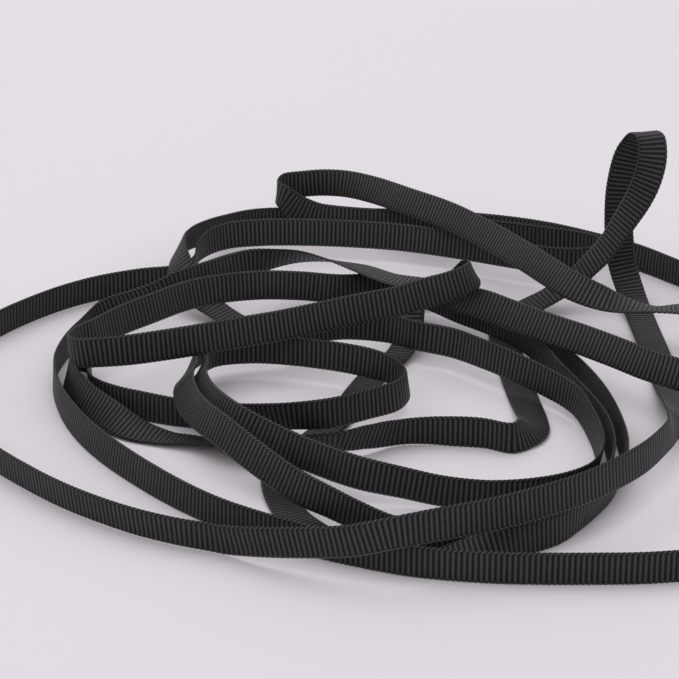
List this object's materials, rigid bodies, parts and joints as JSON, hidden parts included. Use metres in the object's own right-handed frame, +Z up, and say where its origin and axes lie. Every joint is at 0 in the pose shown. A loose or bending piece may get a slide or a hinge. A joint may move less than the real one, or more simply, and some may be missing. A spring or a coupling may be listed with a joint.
{
  "type": "loose tangle of narrow grosgrain ribbon",
  "caption": "One narrow black cross-ribbed ribbon lying on edge in a loose flat tangle of arcs and loops, with one small loop standing high.",
  "frame": {"origin": "on the surface that the ribbon lies on, under the middle of the tangle's box", "axes": "+Z up, +X to the right and +Y to the back as pictured"},
  "size_m": [0.1746, 0.1692, 0.037],
  "materials": {
    "ribbon": "matte cross-ribbed weave with a faint sheen on the ribs"
  },
  "bodies": {
    "root": {"ribbon": "ribbon"}
  },
  "joints": []
}
